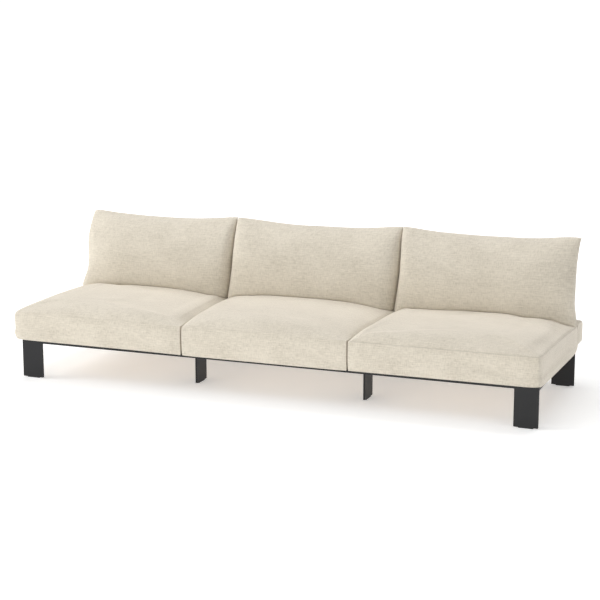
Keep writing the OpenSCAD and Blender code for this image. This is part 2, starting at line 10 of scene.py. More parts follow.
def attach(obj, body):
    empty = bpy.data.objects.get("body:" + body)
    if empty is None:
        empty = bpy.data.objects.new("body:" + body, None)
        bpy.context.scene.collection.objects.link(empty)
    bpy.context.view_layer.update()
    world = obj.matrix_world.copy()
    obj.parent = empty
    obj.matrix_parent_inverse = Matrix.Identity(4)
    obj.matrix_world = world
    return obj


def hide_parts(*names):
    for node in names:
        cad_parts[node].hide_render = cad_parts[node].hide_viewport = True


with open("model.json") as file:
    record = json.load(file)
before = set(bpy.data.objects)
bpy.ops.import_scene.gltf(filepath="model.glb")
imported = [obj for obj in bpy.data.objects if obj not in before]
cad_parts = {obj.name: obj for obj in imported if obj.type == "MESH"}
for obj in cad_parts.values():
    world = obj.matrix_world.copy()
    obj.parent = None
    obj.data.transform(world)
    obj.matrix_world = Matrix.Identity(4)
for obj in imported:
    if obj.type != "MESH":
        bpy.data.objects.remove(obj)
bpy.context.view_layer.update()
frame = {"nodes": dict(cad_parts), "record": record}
nodes = frame["nodes"]
BAYS = ["left", "middle", "right"]

# Sizes in metres. The soft pieces are made about the middle of the steel frame's front edge on the
# floor, and then moved by ORIGIN, its place in the object.
ORIGIN = [0.024, -0.5, 0]
DECK_Z = 0.202


# Numbers

def spread(n, pull):
    """Steps from -1 to 1, drawn towards both ends by pull."""
    t = np.linspace(-1, 1, n)
    return (1 - pull) * t + pull * np.sin(t * math.pi / 2)


def ease(t):
    """Runs smoothly from 0 to 1 as t does."""
    c = np.clip(t, 0, 1)
    return c * c * (3 - 2 * c)


def lengths(points):
    """The length along a row of points, at each of them."""
    steps = np.linalg.norm(np.diff(points, axis=0), axis=1)
    return np.concatenate([[0], np.cumsum(steps)])


def waves(p, seed, shortest, longest, count=7):
    """A smooth field of about -1 to 1 at points p, made of plane waves."""
    rng = np.random.default_rng(seed)
    total = np.zeros(len(p))
    for _ in range(count):
        way = rng.normal(size=3)
        way /= np.linalg.norm(way)
        length = shortest * (longest / shortest) ** rng.random()
        total += np.sin(p @ way * (2 * math.pi / length) + rng.random() * 2 * math.pi)
    return total / math.sqrt(count * 2)


# Meshes

def new_mesh(name, points, faces, uvs=None):
    """A mesh object from points and faces. uvs gives (u, v) in metres for each face corner."""
    mesh = bpy.data.meshes.new(name)
    mesh.from_pydata([tuple(p) for p in points], [], [tuple(f) for f in faces])
    if uvs is not None:
        layer = mesh.uv_layers.new(name="cloth")
        layer.data.foreach_set("uv", np.asarray(uvs, dtype=np.float32).ravel())
    mesh.polygons.foreach_set("use_smooth", [True] * len(mesh.polygons))
    mesh.update()
    obj = bpy.data.objects.new(name, mesh)
    bpy.context.scene.collection.objects.link(obj)
    return obj


def coords(obj):
    out = np.empty(len(obj.data.vertices) * 3)
    obj.data.vertices.foreach_get("co", out)
    return out.reshape(-1, 3)


def set_coords(obj, p):
    obj.data.vertices.foreach_set("co", np.asarray(p, dtype=np.float64).ravel())
    obj.data.update()


def normals(obj):
    out = np.empty(len(obj.data.vertices) * 3)
    obj.data.vertex_normals.foreach_get("vector", out)
    return out.reshape(-1, 3)


def subdivide(obj):
    mod = obj.modifiers.new("smooth", "SUBSURF")
    mod.levels = 1
    mod.render_levels = 1


class Shell:
    """Collects grids of points that share vertices by place. Each corner gets cloth coordinates,
    and each vertex its distance to the nearest seam and its place along that seam."""

    def __init__(self):
        self.points, self.faces, self.uvs, self.notes, self.keys = [], [], [], [], {}

    def vertex(self, p, note):
        key = (round(p[0], 6), round(p[1], 6), round(p[2], 6))
        if key not in self.keys:
            self.keys[key] = len(self.points)
            self.points.append(p)
            self.notes.append(note)
        return self.keys[key]

    def grid(self, pts, uv, seam, along, flip=False):
        rows, cols = pts.shape[:2]
        ids = [
            [self.vertex(pts[j, i], (seam[j, i], along[j, i])) for i in range(cols)]
            for j in range(rows)
        ]
        for j in range(rows - 1):
            for i in range(cols - 1):
                loop = [(j, i), (j, i + 1), (j + 1, i + 1), (j + 1, i)]
                if flip:
                    loop.reverse()
                face, face_uv = [], []
                for a, b in loop:
                    if ids[a][b] not in face:
                        face.append(ids[a][b])
                        face_uv.append(uv[a, b])
                if len(face) > 2:
                    self.faces.append(face)
                    self.uvs.extend(face_uv)

    def build(self, name, sewn=True):
        """Makes the object. Its seam attribute, which the material reads to paint shade into the
        seams' grooves, is the distance to the nearest seam in metres, or over 1 everywhere where
        that painted shade isn't to be seen."""
        obj = new_mesh(name, self.points, self.faces, self.uvs)
        notes = np.array(self.notes)
        seam = obj.data.attributes.new("seam", "FLOAT", "POINT")
        seam.data.foreach_set("value", (notes[:, 0] + (0 if sewn else 1)).astype(np.float32))
        return obj, notes


# Cloth

RUN_FRAMES = 20
CLOTH_STIFFNESS = 25.0
CLOTH_BENDING = 1.5
CLOTH_MASS = 0.3
PIN_STIFFNESS = 4


def simulate(obj, pressure, hold):
    """Swells obj's cloth and gives its points. hold pins each vertex by 0 to 1."""
    group = obj.vertex_groups.new(name="held")
    levels = np.round(hold, 2)
    for level in np.unique(levels):
        if level > 0:
            group.add([int(i) for i in np.nonzero(levels == level)[0]], float(level), "REPLACE")
    mod = obj.modifiers.new("swell", "CLOTH")
    cloth = mod.settings
    cloth.quality = 5
    cloth.mass = CLOTH_MASS
    cloth.tension_stiffness = CLOTH_STIFFNESS
    cloth.compression_stiffness = CLOTH_STIFFNESS
    cloth.shear_stiffness = CLOTH_STIFFNESS / 3
    cloth.bending_stiffness = CLOTH_BENDING
    cloth.use_pressure = True
    cloth.uniform_pressure_force = pressure
    cloth.effector_weights.gravity = 0
    cloth.vertex_group_mass = "held"
    cloth.pin_stiffness = PIN_STIFFNESS
    mod.point_cache.frame_start = 1
    mod.point_cache.frame_end = RUN_FRAMES
    scene = bpy.context.scene
    for f in range(1, RUN_FRAMES + 1):
        scene.frame_set(f)
    shown = obj.evaluated_get(bpy.context.evaluated_depsgraph_get())
    mesh = shown.to_mesh()
    out = np.empty(len(mesh.vertices) * 3)
    mesh.vertices.foreach_get("co", out)
    shown.to_mesh_clear()
    obj.modifiers.remove(mod)
    obj.vertex_groups.clear()
    scene.frame_set(1)
    return out.reshape(-1, 3)


def evened(obj, values, rounds):
    """Evens out a value per vertex over obj's mesh."""
    edges = np.empty(len(obj.data.edges) * 2, dtype=np.int64)
    obj.data.edges.foreach_get("vertices", edges)
    ends = edges.reshape(-1, 2)
    count = np.bincount(edges, minlength=len(values))
    for _ in range(rounds):
        total = np.bincount(ends[:, 0], values[ends[:, 1]], len(values))
        total += np.bincount(ends[:, 1], values[ends[:, 0]], len(values))
        values = 0.4 * values + 0.6 * total / np.maximum(count, 1)
    return values


# The fit of the run's lift against the distance to a seam: its degree, the distance over which it
# runs, and the fewest points and least range of distances that it is made for
FIT_DEGREE = 6
FIT_REACH = 0.2
FIT_POINTS = 50
FIT_RANGE = 0.02
EVEN_ROUNDS = 8
SEAM_FADE = 0.09


def inflate(obj, pressure, cap, hold, seam, side):
    """Gives obj the small swells and hollows of a cloth run, about its own fitted form. What the
    run does to every point as far from a seam on the same side is taken off. The lift stays under
    cap and the slide under a third of it, held points stay, and both fade out towards the seams."""
    start, out = coords(obj), normals(obj)
    move = simulate(obj, pressure, hold) - start
    lift = (move * out).sum(axis=1)
    slide = move - lift[:, None] * out
    for part in np.unique(side):
        chosen = np.nonzero((side == part) & (hold < 0.5))[0]
        if len(chosen) > FIT_POINTS and np.ptp(seam[chosen]) > FIT_RANGE:
            far = np.minimum(seam, FIT_REACH)
            fit = np.polynomial.Polynomial.fit(far[chosen], lift[chosen], FIT_DEGREE)
            lift[side == part] -= fit(far[side == part])
    lift = evened(obj, lift, EVEN_ROUNDS)
    lift = cap * np.tanh(lift / cap)
    length = np.linalg.norm(slide, axis=1, keepdims=True)
    slide *= np.minimum(1, cap / 3 / np.maximum(length, 1e-9))
    near = np.clip(seam / SEAM_FADE, 0, 1)
    free = (1 - hold) * near * (2 - near)
    return start + (lift[:, None] * out + slide) * free[:, None]


GROOVE_WIDTH = 0.0028
PUCKER_LENGTH = 0.041
# Lengths over which the puckers' spacing and their strength change
PHASE_LENGTHS = (0.31, 0.17, 0.083)
STRENGTH_LENGTH = 0.43
TURN = 6.28


def sew(p, out, notes, seed, depth=0.0016, pucker=0.0007, reach=0.018):
    """Sinks the seams into the cloth and puckers it beside them."""
    rng = np.random.default_rng(seed)
    seam, along = notes[:, 0], notes[:, 1]
    phase = sum(
        rng.random() * 2.2 * np.sin(along * 2 * math.pi / length + rng.random() * TURN)
        for length in PHASE_LENGTHS
    )
    drift = np.sin(along * 2 * math.pi / STRENGTH_LENGTH + rng.random() * TURN)
    wave = np.sin(along * 2 * math.pi / PUCKER_LENGTH + phase) * (0.55 + 0.45 * drift)
    near = np.exp(-seam / reach)
    groove = np.exp(-(seam / GROOVE_WIDTH) ** 2)
    return p + out * (pucker * wave * near * (1 - 0.6 * groove) - depth * groove)[:, None]


# Materials

class Nodes:
    """A material's node tree, written in few words."""

    def __init__(self, name):
        self.mat = bpy.data.materials.new(name)
        self.mat.use_nodes = True
        self.tree = self.mat.node_tree
        self.shader = self.tree.nodes["Principled BSDF"]

    def add(self, kind, **values):
        node = self.tree.nodes.new(kind)
        for key, value in values.items():
            setattr(node, key, value)
        return node

    def link(self, out, socket):
        self.tree.links.new(out, socket)

    def math(self, operation, a, b=None):
        node = self.add("ShaderNodeMath", operation=operation)
        for i, value in enumerate((a, b)):
            if isinstance(value, (int, float)):
                node.inputs[i].default_value = value
            elif value is not None:
                self.link(value, node.inputs[i])
        return node.outputs[0]

    def mapped(self, vector, scale):
        place = self.add("ShaderNodeMapping")
        place.inputs["Scale"].default_value = scale
        self.link(vector, place.inputs["Vector"])
        return place.outputs["Vector"]

    def coordinates(self, kind, scale=(1, 1, 1)):
        return self.mapped(self.add("ShaderNodeTexCoord").outputs[kind], scale)

    def split(self, vector):
        node = self.add("ShaderNodeSeparateXYZ")
        self.link(vector, node.inputs[0])
        return node.outputs

    def noise(self, vector, scale, detail=2.0, rough=0.5):
        node = self.add("ShaderNodeTexNoise")
        node.inputs["Scale"].default_value = scale
        node.inputs["Detail"].default_value = detail
        node.inputs["Roughness"].default_value = rough
        self.link(vector, node.inputs["Vector"])
        return node.outputs["Fac"]

    def map_range(self, value, limits, kind="LINEAR"):
        """Maps value from the first two limits to the last two."""
        node = self.add("ShaderNodeMapRange", interpolation_type=kind)
        for socket, limit in zip(("From Min", "From Max", "To Min", "To Max"), limits):
            node.inputs[socket].default_value = limit
        self.link(value, node.inputs["Value"])
        return node.outputs[0]

    def ramp(self, value, stops):
        node = self.add("ShaderNodeValToRGB")
        ramp = node.color_ramp
        while len(ramp.elements) < len(stops):
            ramp.elements.new(0.5)
        for element, (at, colour) in zip(ramp.elements, stops):
            element.position = at
            element.color = (*colour, 1)
        self.link(value, node.inputs["Fac"])
        return node.outputs["Color"]

    def base(self, colour):
        self.link(colour, self.shader.inputs["Base Color"])

    def bump(self, height, distance, strength=1.0):
        node = self.add("ShaderNodeBump")
        node.inputs["Strength"].default_value = strength
        node.inputs["Distance"].default_value = distance
        self.link(height, node.inputs["Height"])
        self.link(node.outputs["Normal"], self.shader.inputs["Normal"])

    def set(self, **values):
        for key, value in values.items():
            self.shader.inputs[key.replace("_", " ")].default_value = value
        return self.mat


def shaded(tone, shares):
    return tuple(min(1, c * k) for c, k in zip(tone, shares))


MILLIMETRES = (1000, 1000, 1000)
LINEN = (0.620, 0.568, 0.474)
LINEN_DARK = shaded(LINEN, (0.815, 0.805, 0.785))
LINEN_LIGHT = shaded(LINEN, (1.150, 1.156, 1.164))
THREAD_PITCH = 1.5
# Noise scales per millimetre along and across the cloth
WEFT_SLUBS = (0.032, 0.19)
WARP_SLUBS = (0.20, 0.040)
LONG_SLUBS = (0.008, 0.13)
CLOUDS = (0.0050, 0.0065)
# Two distances in metres from a seam, and the cloth's shades there: painted shade, darker in the
# groove where the seam sinks in
SEAM_GROOVE_SHADE = (0.0004, 0.0026, 0.86, 1.0)


def linen(name):
    """Plain-woven linen: threads 1.5 mm apart both ways, of uneven thickness, with slubs, and
    painted shade in its seams' grooves.
    """
    n = Nodes(name)
    at = n.coordinates("UV", MILLIMETRES)
    x, y = n.split(at)[:2]
    wobble = n.math("MULTIPLY", n.noise(at, 0.05, 3), 3.0)
    pitch = 2 * math.pi / THREAD_PITCH
    warp = n.math("SINE", n.math("MULTIPLY", n.math("ADD", x, wobble), pitch))
    weft = n.math("SINE", n.math("MULTIPLY", n.math("ADD", y, wobble), pitch))
    over = n.math("MULTIPLY", warp, weft)

    def slubs(scale, detail=3, rough=0.6):
        return n.noise(n.mapped(at, (*scale, 1)), 1.0, detail, rough)

    weft_slub = slubs(WEFT_SLUBS)
    warp_slub = slubs(WARP_SLUBS)
    parts = (
        (weft_slub, 0.40), (warp_slub, 0.36), (slubs(LONG_SLUBS, 2, 0.5), 0.15),
        (slubs(CLOUDS, 3, 0.55), 0.24), (over, 0.014),
    )
    value = None
    for part, weight in parts:
        term = n.math("MULTIPLY", part, weight)
        value = term if value is None else n.math("ADD", value, term)
    colour = n.ramp(value, [(0.44, LINEN_DARK), (0.57, LINEN), (0.70, LINEN_LIGHT)])
    # Painted shade: the cloth's colour is darkened in the seam's groove, where shade falls
    seam = n.add("ShaderNodeAttribute", attribute_name="seam").outputs["Fac"]
    shade = n.add("ShaderNodeMix", data_type="RGBA", blend_type="MULTIPLY")
    shade.inputs[0].default_value = 1.0
    n.link(colour, shade.inputs[6])
    n.link(n.map_range(seam, SEAM_GROOVE_SHADE, "SMOOTHSTEP"), shade.inputs[7])
    n.base(shade.outputs[2])
    height = n.math("ADD", n.math("MULTIPLY", over, 0.35), n.math("MULTIPLY", weft_slub, 1.1))
    height = n.math("ADD", height, n.math("MULTIPLY", warp_slub, 0.8))
    n.bump(height, 0.0004, 0.55)
    return n.set(
        Roughness=0.95, Specular_IOR_Level=0.15,
        Sheen_Weight=1.0, Sheen_Roughness=0.5, Sheen_Tint=(1.0, 0.93, 0.83, 1),
    )


def powder_coat(name):
    """Anthracite powder coat: fine orange peel, slightly uneven tone and gloss."""
    n = Nodes(name)
    tone = (0.013, 0.013, 0.014)
    at = n.coordinates("Object")
    broad = n.noise(at, 6, 3, 0.5)
    n.base(n.ramp(broad, [(0.3, shaded(tone, [0.88] * 3)), (0.7, shaded(tone, [1.14] * 3))]))
    n.link(n.map_range(broad, (0, 1, 0.40, 0.52)), n.shader.inputs["Roughness"])
    n.bump(n.noise(at, 900, 2, 0.5), 0.00012, 0.5)
    return n.set(Specular_IOR_Level=0.34)


def beech(name, tone, along):
    """Clear-coated beech with its grain along one axis."""
    n = Nodes(name)
    scale = {"Y": (38, 2.2, 38), "X": (2.2, 38, 38)}[along]
    grain = n.noise(n.coordinates("Object", scale), 1.0, 6, 0.6)
    fine = n.noise(n.coordinates("Object", tuple(s * 9 for s in scale)), 1.0, 3, 0.6)
    value = n.math("ADD", n.math("MULTIPLY", grain, 0.72), n.math("MULTIPLY", fine, 0.28))
    dark, light = shaded(tone, [0.66] * 3), shaded(tone, [1.18] * 3)
    n.base(n.ramp(value, [(0.30, dark), (0.50, tone), (0.72, light)]))
    n.bump(value, 0.0002, 0.4)
    return n.set(Roughness=0.5)


def webbing(name):
    """Black elastic webbing: ribs 3 mm apart up its width, crossed every 2.2 mm."""
    n = Nodes(name)
    at = n.coordinates("Object", MILLIMETRES)
    x, _, z = n.split(at)
    ribs = n.math("SINE", n.math("MULTIPLY", z, 2 * math.pi / 3.0))
    cross = n.math("SINE", n.math("MULTIPLY", x, 2 * math.pi / 2.2))
    weave = n.math("MULTIPLY", ribs, cross)
    value = n.math("ADD", n.math("MULTIPLY", weave, 0.2), n.noise(at, 0.03, 3))
    n.base(n.ramp(value, [(0.25, (0.012, 0.012, 0.013)), (0.75, (0.045, 0.045, 0.048))]))
    n.bump(weave, 0.0004, 0.8)
    return n.set(Roughness=0.85, Sheen_Weight=0.2)


def foam(name):
    """Open-cell upholstery foam."""
    n = Nodes(name)
    at = n.coordinates("Object")
    cells = n.add("ShaderNodeTexVoronoi")
    cells.inputs["Scale"].default_value = 700
    n.link(at, cells.inputs["Vector"])
    n.base(n.ramp(n.noise(at, 8, 3), [(0.3, (0.78, 0.74, 0.52)), (0.7, (0.86, 0.82, 0.62))]))
    n.bump(cells.outputs["Distance"], 0.0006, 0.8)
    return n.set(Roughness=1.0)


def nylon(name):
    """Black moulded nylon with a fine grain."""
    n = Nodes(name)
    at = n.coordinates("Object")
    n.base(n.ramp(n.noise(at, 20, 3), [(0.3, (0.012, 0.012, 0.012)), (0.7, (0.022, 0.022, 0.022))]))
    n.bump(n.noise(at, 500, 3), 0.0001, 0.6)
    return n.set(Roughness=0.6)


def zinc(name):
    """Zinc plating, clouded."""
    n = Nodes(name)
    at = n.coordinates("Object")
    n.base(n.ramp(n.noise(at, 160, 4), [(0.3, (0.48, 0.49, 0.50)), (0.7, (0.66, 0.67, 0.68))]))
    n.bump(n.noise(at, 1200, 2), 0.00005, 0.5)
    return n.set(Metallic=1.0, Roughness=0.38)


MATERIALS = {
    "coated_steel": powder_coat("powder_coat"),
    "zinc_plated_steel": zinc("zinc"),
    "nylon_glide": nylon("nylon"),
    "slat_plywood": beech("slat_beech", (0.56, 0.40, 0.24), "Y"),
    "core_timber": beech("core_beech", (0.50, 0.35, 0.20), "X"),
    "elastic_webbing": webbing("webbing"),
    "linen_weave": linen("linen"),
    "cushion_foam": foam("foam"),
}
for part in frame["record"]["subparts"]:
    piece = nodes[part["node"]]
    piece.data.materials.clear()
    piece.data.materials.append(MATERIALS[part["material_slot"]])


def finish_soft(obj, p, body, node):
    """Places a soft piece's points in the object, smooths and dresses it, and puts it on its body
    in its node's stead."""
    set_coords(obj, p)
    subdivide(obj)
    obj.data.materials.append(MATERIALS["linen_weave"])
    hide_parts(node)
    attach(obj, body)


# The row: cushion k of a kind stands between side k and side k + 1

def row_end(k, u):
    """1 on a cushion's side that ends the row, and 0 at a joint."""
    return np.where(u < 0, 1.0 if k == 0 else 0.0, 1.0 if k == 2 else 0.0)


JOINT_REACH = 0.05


def near_joint(k, x, low, high):
    """1 at a side that a neighbour presses, falling to 0 at JOINT_REACH from it."""
    gap = np.full(len(x), JOINT_REACH)
    if k > 0:
        gap = np.minimum(gap, x - low)
    if k < 2:
        gap = np.minimum(gap, high - x)
    return np.clip(1 - gap / JOINT_REACH, 0, 1) ** 0.5


def keep_between(k, p, low, high, gap):
    """Neighbours press each other flat: holds cushion k's points at gap from its joints."""
    if k > 0:
        p[:, 0] = np.maximum(p[:, 0], low + gap)
    if k < 2:
        p[:, 0] = np.minimum(p[:, 0], high - gap)


# Seat cushions

SEAT_Z = DECK_Z + 0.0004
SEAT_D = 0.850
SEAT_FRONT = -0.012
SEAT_REAR_LIMIT = 0.8385
SEAT_H = 0.148
SEAT_CROWN = 0.058
SEAT_DROOP = 0.014
# Places of the row's four seat sides, at the front and at the rear
FRONT_X = [-1.458, -0.4600, 0.4420, 1.410]
REAR_X = [-1.474, -0.5275, 0.4655, 1.426]
# How steep each crown is on its left and on its right
SEAT_POWERS = [(5.5, 3.0), (10.0, 3.0), (10.0, 3.0)]
# How far each seat cushion's walls round into its crown, from 0, with a sewn edge, to 1, with none
SOFT_TOP = [1.0, 1.0, 0.35]
SEAM_DEPTH = [0.0, 0.0, 0.0012]
# How far the seams stand in from the walls, and the bottom edges on the left, front, right and rear
SEAT_BULGE = 0.008
SEAT_FOOT = np.array([0.012, 0.0085, 0.0045, 0.012])
# The share of these that is left at a joint, and each cushion's share of the gap
JOINT_SHARE = 0.14
SEAT_GAP = 0.0006
SEAT_CORNER, JOINT_CORNER = 0.012, 0.0035
# How far the bottom edges hang over the front rail, at places along the row, and over the right end
HANG_FRONT = [
    (-1.46, 0.0), (-0.85, 0.0), (-0.50, 0.0045), (-0.44, 0.0065), (0.40, 0.0060), (0.47, 0.0040),
    (1.42, 0.0),
]
HANG_SIDE = 0.0045
# Shares of a wall's height at its rings: where the hanging edge is lowest, and how soon it ends
HANG_LOW, HANG_FADE = 0.02, 0.07
WALL_RINGS = np.concatenate([[0, 0.008, 0.018, 0.032], (spread(19, 0.7)[2:] + 1) / 2])
SEAT_PRESSURE, SEAT_CAP = 4.0, 0.0045
# Height under which a seat cushion keeps its fitted, flat underside
SEAT_FLAT = 0.004


def seat_side(i, t):
    return FRONT_X[i] * (1 - t) + REAR_X[i] * t


def seat_xy(k, u, v, left, front, right, rear):
    """Plan place of share [u, v] on seat cushion k, its four sides drawn in by left to rear."""
    t = (v + 1) / 2
    low = seat_side(k, t) + (left if k == 0 else left * JOINT_SHARE + SEAT_GAP)
    high = seat_side(k + 1, t) - (right if k == 2 else right * JOINT_SHARE + SEAT_GAP)
    corner = np.where(row_end(k, u) > 0, SEAT_CORNER, JOINT_CORNER) * np.abs(u * v) ** 12
    x = low + (high - low) * (u + 1) / 2 - np.sign(u) * corner
    y = SEAT_FRONT + front + (SEAT_D - front - rear) * t - np.sign(v) * corner
    return x, y


def seat_seam_z(v):
    return SEAT_Z + SEAT_H - SEAT_DROOP * ((v + 1) / 2) ** 2


def seat_top_z(k, u, v):
    power = np.where(u < 0, SEAT_POWERS[k][0], SEAT_POWERS[k][1])
    crown = (1 - np.abs(u) ** power) ** 0.75
    return seat_seam_z(v) + SEAT_CROWN * crown * (1 - np.abs(v) ** 5) ** 0.75


def seat_hang(k, u, v):
    """How far a seat cushion's bottom edge hangs down, over the front rail and the right end."""
    hang_x, hang_z = np.array(HANG_FRONT).T
    line_x = seat_xy(k, u, v, *SEAT_FOOT)[0]
    front = np.interp(line_x, hang_x, hang_z) * np.clip((-v - 0.9) / 0.1, 0, 1)
    side = HANG_SIDE * (np.clip((u - 0.98) / 0.02, 0, 1) if k == 2 else 0 * u)
    side = side * np.clip((0.80 - v) / 0.1, 0, 1) * np.clip((v + 1.0) / 0.06, 0, 1)
    return np.maximum(front, side)


def wall_ring(k, u, v, h, hang):
    """Points round a seat cushion's wall at height share h, from its bottom edge to its seam."""
    swell = math.sin(math.pi * h) ** 0.6 if 0 < h < 1 else 0
    if h > 0.5:
        swell += (1 - (2 * h - 1) ** 5 - swell) * SOFT_TOP[k]
    low = np.clip(1 - h / 0.5, 0, 1) ** 0.5
    x, y = seat_xy(k, u, v, *((SEAT_FOOT * low + SEAT_BULGE * (1 - low)) * (1 - swell)))
    if h < HANG_LOW:
        drop = 1 - (h / HANG_LOW - 1) ** 2
    else:
        drop = math.exp(-((h - HANG_LOW) / HANG_FADE) ** 2)
    return np.stack([x, y, SEAT_Z + (seat_seam_z(v) - SEAT_Z) * h - hang * drop], -1)


def seat_shell(k):
    shell = Shell()
    us, vs = spread(88, 0.78), spread(78, 0.78)
    u, v = np.meshgrid(us, vs)
    # Crown
    x, y = seat_xy(k, u, v, *[SEAT_BULGE] * 4)
    to_side = (1 - np.abs(u)) * (REAR_X[k + 1] - REAR_X[k]) / 2
    to_front = (1 - np.abs(v)) * SEAT_D / 2
    seam = np.minimum(to_side, to_front)
    along = np.where(to_side < to_front, y, x)
    uv = np.stack([x, y], -1)
    shell.grid(np.stack([x, y, seat_top_z(k, u, v)], -1), uv, seam, along)
    # Walls
    ones_u, ones_v = np.ones(len(us) - 1), np.ones(len(vs) - 1)
    loop_u = np.concatenate([us[:-1], ones_v, us[:0:-1], -ones_v, [us[0]]])
    loop_v = np.concatenate([-ones_u, vs[:-1], ones_u, vs[:0:-1], [vs[0]]])
    hang = seat_hang(k, loop_u, loop_v)
    rings = np.array([wall_ring(k, loop_u, loop_v, h, hang) for h in WALL_RINGS])
    line = np.tile(lengths(rings[0, :, :2]), (len(rings), 1))
    ends = np.concatenate([x[0, :-1], y[:-1, -1], x[-1, :0:-1], y[:0:-1, 0], [x[0, 0]]])
    high = np.minimum(WALL_RINGS + 0.2, 1 - WALL_RINGS)[:, None] * SEAT_H
    shell.grid(
        rings, np.stack([line, rings[:, :, 2]], -1),
        np.tile(high, (1, len(loop_u))), np.tile(ends, (len(rings), 1)),
    )
    # Underside
    x, y = seat_xy(k, u, v, *SEAT_FOOT)
    shell.grid(np.stack([x, y, np.full_like(x, SEAT_Z)], -1), uv, seam + 0.03, along, flip=True)
    return shell


def make_seat(k):
    obj, notes = seat_shell(k).build(f"{BAYS[k]}_seat_cover", SOFT_TOP[k] < 1)
    flat, out = coords(obj), normals(obj)
    hold = np.clip(1 - (flat[:, 2] - SEAT_Z) / 0.03, 0, 1)
    t = np.clip((flat[:, 1] - SEAT_FRONT) / SEAT_D, 0, 1)
    hold = np.maximum(hold, near_joint(k, flat[:, 0], seat_side(k, t), seat_side(k + 1, t)))
    side = np.sign(np.round(out[:, 2] * 0.9))
    p = inflate(obj, SEAT_PRESSURE, SEAT_CAP, hold, notes[:, 0], side)
    p = sew(p, out, notes, 30 + k, depth=SEAM_DEPTH[k], pucker=0.0006)
    # Broad unevenness on the crown, none underneath
    top = np.clip((flat[:, 2] - SEAT_Z - SEAT_H * 0.8) / 0.05, 0, 1)
    p += out * (0.0018 * waves(flat, 20 + k, 0.16, 0.5) * top)[:, None]
    # The cushion lies on its slats, between its neighbours and clear of the posts
    t = np.clip((p[:, 1] - SEAT_FRONT) / SEAT_D, 0, 1)
    keep_between(k, p, seat_side(k, t), seat_side(k + 1, t), SEAT_GAP)
    low = flat[:, 2] < SEAT_Z + SEAT_FLAT
    p[low] = flat[low]
    p[:, 2] = np.where(low, p[:, 2], np.maximum(p[:, 2], SEAT_Z + SEAT_FLAT))
    p[:, 1] = np.minimum(p[:, 1], SEAT_REAR_LIMIT)
    finish_soft(obj, p + ORIGIN, f"{BAYS[k]}_seat", f"{BAYS[k]}_seat_cushion")
    return obj


seats = [make_seat(k) for k in range(3)]


# Back cushions. Their own axes lean back: s runs up them, and depth forward from their rear.

LEAN = math.radians(14.5)
LEAN_Y = 0.842 + 0.040 * (1 - math.cos(LEAN))
LEAN_Z = DECK_Z + 0.135 + 0.040 * math.sin(LEAN)
# The cushions' rears stand this far before the posts' front faces: the top rail and a gap
BACK_PLANE = 0.0083
BACK_H = 0.445
BACK_ROOT = -0.030
BACK_SAG = 0.028
# Depth of the top seam, and how far the front stands before it: all the way up, and at the belly
BACK_EDGE = 0.030
BACK_THICK, BACK_BELLY = 0.100, 0.065
BACK_TOP_POWER = 4.8
# Height share from which the rear turns forward to the top seam, and the share that is left
BACK_TURN, BACK_TURN_RUN = 0.72, 0.28
OUTER_POWER, JOINT_POWER = 4.0, 14.0
PARTS = [seat_side(i, 0.85) for i in range(4)]
BACK_LEFT, BACK_RIGHT = PARTS[0] + 0.018, PARTS[3] - 0.004
# The lines where neighbours press each other: their places along the row at sixths of the height
JOINT_LINES = {
    1: [-0.5370, -0.5220, -0.5100, -0.5065, -0.5115, -0.5205, -0.5330],
    2: [0.4350, 0.4480, 0.4580, 0.4610, 0.4570, 0.4465, 0.4390],
}
BACK_GAP = 0.0007
# The row's left and right ends draw in by FOOT_IN over the lowest FOOT_RISE of the height, and out
# again by HEAD_OUT over the next HEAD_RISE. Their top corners draw in by CORNER_IN and drop.
FOOT_IN, FOOT_RISE = (0.041, 0.015), 0.3
HEAD_OUT, HEAD_RISE = (0.024, -0.009), 0.5
CORNER_IN = (0.004, -0.006)
CORNER_DROP = 0.011
BACK_PRESSURE, BACK_CAP = 3.0, 0.005
# Lengths of cloth up a back cushion and through its foot
BACK_CLOTH, FOOT_CLOTH, FOOT_STEPS = 0.47, 0.14, 15
ROLL = 0.006
STAND_GAP = 0.0006
# Height under which the backs' points may meet the seats
STAND_Z = 0.44


def joint_x(i, t):
    """Place along the row of the line between back cushions i - 1 and i at height share t."""
    line = JOINT_LINES[i]
    fit = np.polynomial.Polynomial.fit(np.linspace(0, 1, len(line)), line, 4)
    return fit(np.clip(t, 0, 1))


def joints_beside(k, t):
    """The lines on back cushion k's left and right, or 0 where it ends the row."""
    return [joint_x(i, t) if i in JOINT_LINES else 0 * t for i in (k, k + 1)]


